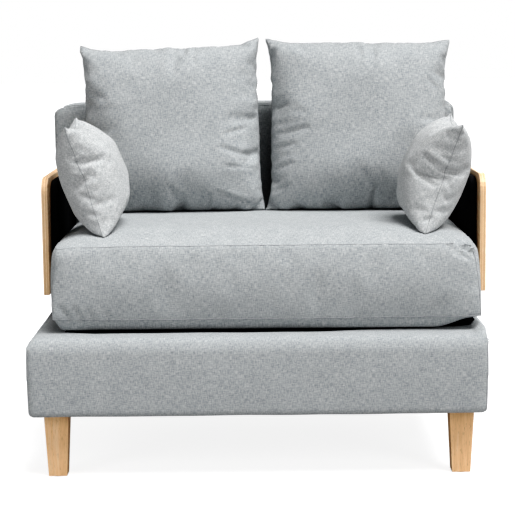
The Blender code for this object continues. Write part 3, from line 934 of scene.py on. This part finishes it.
def round_shoulders(points, low, high):
    """Bend the two top corners of the back, seen from the front, onto arcs."""
    share = np.clip((points[:, 0] - 0.40) / 0.04, 0, 1) * np.clip((points[:, 2] - 0.61) / 0.02, 0, 1)
    points[:, 0] -= SHOULDER_IN * share
    for side, end, radii in ((-1, low[0], (0.060, 0.026)), (1, high[0] - SHOULDER_IN, (0.026, 0.022))):
        corner = np.array((end - side * radii[0], high[2] - radii[1]))
        place = (points[:, [0, 2]] - corner) / radii * (side, 1)
        bent = np.all(place > 0, axis=1)
        place = place[bent]
        share = np.max(place, axis=1, keepdims=True) / np.linalg.norm(place, axis=1, keepdims=True)
        points[np.ix_(bent, [0, 2])] = corner + place * share * radii * (side, 1)


def back_edge(low, high, step, spacing=0.012):
    """Points (x, z) up one side of the back's upper part, across its top and down the other."""
    corners = [(low[0], step + 0.01), (low[0], high[2]), (high[0], high[2]), (high[0], step + 0.01)]
    points = []
    for (x0, z0), (x1, z1) in zip(corners, corners[1:]):
        count = max(2, round(math.hypot(x1 - x0, z1 - z0) / spacing))
        points += [(x0 + (x1 - x0) * i / count, z0 + (z1 - z0) * i / count) for i in range(count)]
    return points + [corners[-1]]


def make_liner(node):
    obj = softened(node, voxel=0.005, rounds=5)
    weave_uv(obj)
    give(obj, M["black"])
    smooth(obj, 70)
    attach(obj, "root")
    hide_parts(node)
    return obj


def make_dust_cover():
    """Thin non-woven cloth stapled under the frame, with a square cut round each leg."""
    low, high = (np.array(corner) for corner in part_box("dust_cover"))
    nx, ny = 48, 38
    verts, faces = [], []
    for j in range(ny + 1):
        for i in range(nx + 1):
            u, v = i / nx, j / ny
            sag = 0.0025 * math.sin(math.pi * u) * math.sin(math.pi * v)
            ripple = 0.0006 * noise.noise(Vector((u * 20, v * 16, 0.5)))
            spot = low + (high - low) * np.array((u, v, 0))
            verts.append((spot[0], spot[1], low[2] + 0.001 - sag + ripple))
    for j in range(ny):
        for i in range(nx):
            k = j * (nx + 1) + i
            faces.append((k, k + nx + 1, k + nx + 2, k + 1))
    obj = new_object("dust_cover", verts, faces)
    legs = [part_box(f"leg_{corner}") for corner in ("front_left", "front_right", "rear_left", "rear_right")]

    def by_leg(c):
        return any(all(lo[k] - 0.012 < c[k] < hi[k] + 0.012 for k in (0, 1)) for lo, hi in legs)

    drop_faces(obj, by_leg)
    solid = obj.modifiers.new("cloth thickness", "SOLIDIFY")
    solid.thickness = 0.0008
    bake_modifiers(obj)
    weave_uv(obj)
    give(obj, M["black"])
    smooth(obj, 60)
    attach(obj, "root")
    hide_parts("dust_cover")
    return obj


def make_pillows(seat):
    back_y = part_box("back_cover")[0][1]
    seat_top = height_over(seat)

    def on_seat(points):
        points[:, 2] = soft_limit(points[:, 2], seat_top(points) + ON_SEAT, -1, 0.006)
        return points

    def against_back(points):
        points[:, 1] = soft_limit(points[:, 1], back_y - 0.001, 1, 0.010)
        return on_seat(points)

    def slumped(points):
        return 1 + 0.12 * np.exp(-((points[:, 2] + 0.10) / 0.06) ** 2)

    back_fits = {"left": (-1.8, 0.416, 0.0, (0.06, 0.12)), "right": (0.6, 0.430, 0.008, (0.09, 0.07))}
    for side, name in SIDES:
        node = f"back_pillow_{name}"
        tilt, width, shift, dips = back_fits[name]
        low, high = (np.array(corner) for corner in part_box(node))
        turn = Euler((-BACK_LEAN, math.radians(tilt), 0)).to_matrix()
        make_pillow(node, (width, 0.170, 0.409), cover=0.45, volume=0.0125, taper=0.13, ear=0.08, gather=0.04,
                    bending=0.5, tension=80, steps=56, turn=turn, spot=(low + high) / 2 + (shift, 0, -0.006),
                    squeeze=against_back, fuller=slumped, seed=side + 4, folds=BACK_FOLDS[name],
                    cloth=M["linen_pillow_shaded"], crimp=0.0013, dips=dips)
    for side, name in SIDES:
        node = f"side_pillow_{name}"
        low, high = (np.array(corner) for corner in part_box(node))
        turn = Matrix.Rotation(side * SIDE_LEAN, 3, "Y") @ Matrix.Rotation(SIDE_RISE, 3, "X")
        turn = turn @ Matrix.Rotation(math.pi / 2, 3, "Z")
        make_pillow(node, (0.264, 0.143, 0.254), cover=0.30, volume=0.0040, taper=0.06, ear=0.05, gather=0.06,
                    bending=0.1, tension=20, steps=40, turn=turn,
                    spot=(low + high) / 2 + (side * 0.003, 0, -0.008), squeeze=on_seat,
                    fuller=lambda points, side=side: np.where(points[:, 1] * side > 0, 1.10, 0.81),
                    seed=side + 9, folds=SIDE_FOLDS[name], cloth=M["linen_side_lit"], crimp=0.0016)


# ---------------------------------------------------------------- stage
def make_stage():
    size = 30.0
    floor = new_object("floor", [(-size, -size, 0), (size, -size, 0), (size, size, 0), (-size, size, 0)],
                       [(0, 1, 2, 3)])
    give(floor, floor_paint("pale floor"))
    world = bpy.data.worlds.new("studio")
    bpy.context.scene.world = world
    world.use_nodes = True
    tree = world.node_tree
    sky = tree.nodes["Background"]
    sky.inputs["Color"].default_value = (1, 1, 1, 1)
    sky.inputs["Strength"].default_value = 0.20
    white = tree.nodes.new("ShaderNodeBackground")
    white.inputs["Color"].default_value = (1, 1, 1, 1)
    path = tree.nodes.new("ShaderNodeLightPath")
    mix = tree.nodes.new("ShaderNodeMixShader")
    tree.links.new(path.outputs["Is Camera Ray"], mix.inputs["Fac"])
    tree.links.new(sky.outputs[0], mix.inputs[1])
    tree.links.new(white.outputs[0], mix.inputs[2])
    tree.links.new(mix.outputs[0], tree.nodes["World Output"].inputs["Surface"])


def area_light(name, spot, target, size, watts):
    light = bpy.data.lights.new(name, "AREA")
    light.shape = "DISK"
    light.size = size
    light.energy = watts
    place_light(light, spot, target)


def overhead(name, spot, spread, strength):
    """A broad even light from above, like a large soft box."""
    light = bpy.data.lights.new(name, "SUN")
    light.angle = math.radians(spread)
    light.energy = strength
    place_light(light, spot, (0, 0, 0))


def place_light(light, spot, target):
    obj = bpy.data.objects.new(light.name, light)
    obj.location = spot
    obj.rotation_euler = (Vector(target) - Vector(spot)).to_track_quat("-Z", "Y").to_euler()
    bpy.context.scene.collection.objects.link(obj)


def make_camera():
    camera = bpy.data.cameras.new("camera")
    camera.sensor_width = 36.0
    camera.lens = 115.5
    obj = bpy.data.objects.new("camera", camera)
    pitch, roll = math.radians(7.565), math.radians(0.6)
    turn = Matrix.Rotation(math.pi / 2 - pitch, 4, "X") @ Matrix.Rotation(-roll, 4, "Z")
    obj.matrix_world = Matrix.Translation((-0.006, -3.60, 0.8826)) @ turn
    bpy.context.scene.collection.objects.link(obj)
    bpy.context.scene.camera = obj


def grade():
    """Plain display colours, with the deepest shadows taken down a little further."""
    settings = bpy.context.scene.view_settings
    settings.view_transform = "Standard"
    settings.use_curve_mapping = True
    curve = settings.curve_mapping.curves[3]
    for position, value in ((0.04, 0.010), (0.11, 0.070), (0.26, 0.245)):
        curve.points.new(position, value)
    settings.curve_mapping.update()


make_stage()
make_camera()
overhead("key", (1.0, -0.9, 3.0), 35, 4.35)
area_light("right fill", (2.6, -3.4, 1.8), (0.0, 0.0, 0.4), 1.6, 36.0)
area_light("left fill", (-2.8, -3.2, 1.8), (0.0, 0.0, 0.4), 1.6, 25.0)
area_light("rear fill", (1.2, 3.8, 1.6), (0.0, 0.0, 0.4), 1.6, 26.0)
grade()

dress_nodes()
make_deck_shade_cloth(make_base_cover())
make_back_cover()
for _, name in SIDES:
    make_liner(f"arm_liner_{name}")
make_dust_cover()
make_pillows(make_seat())
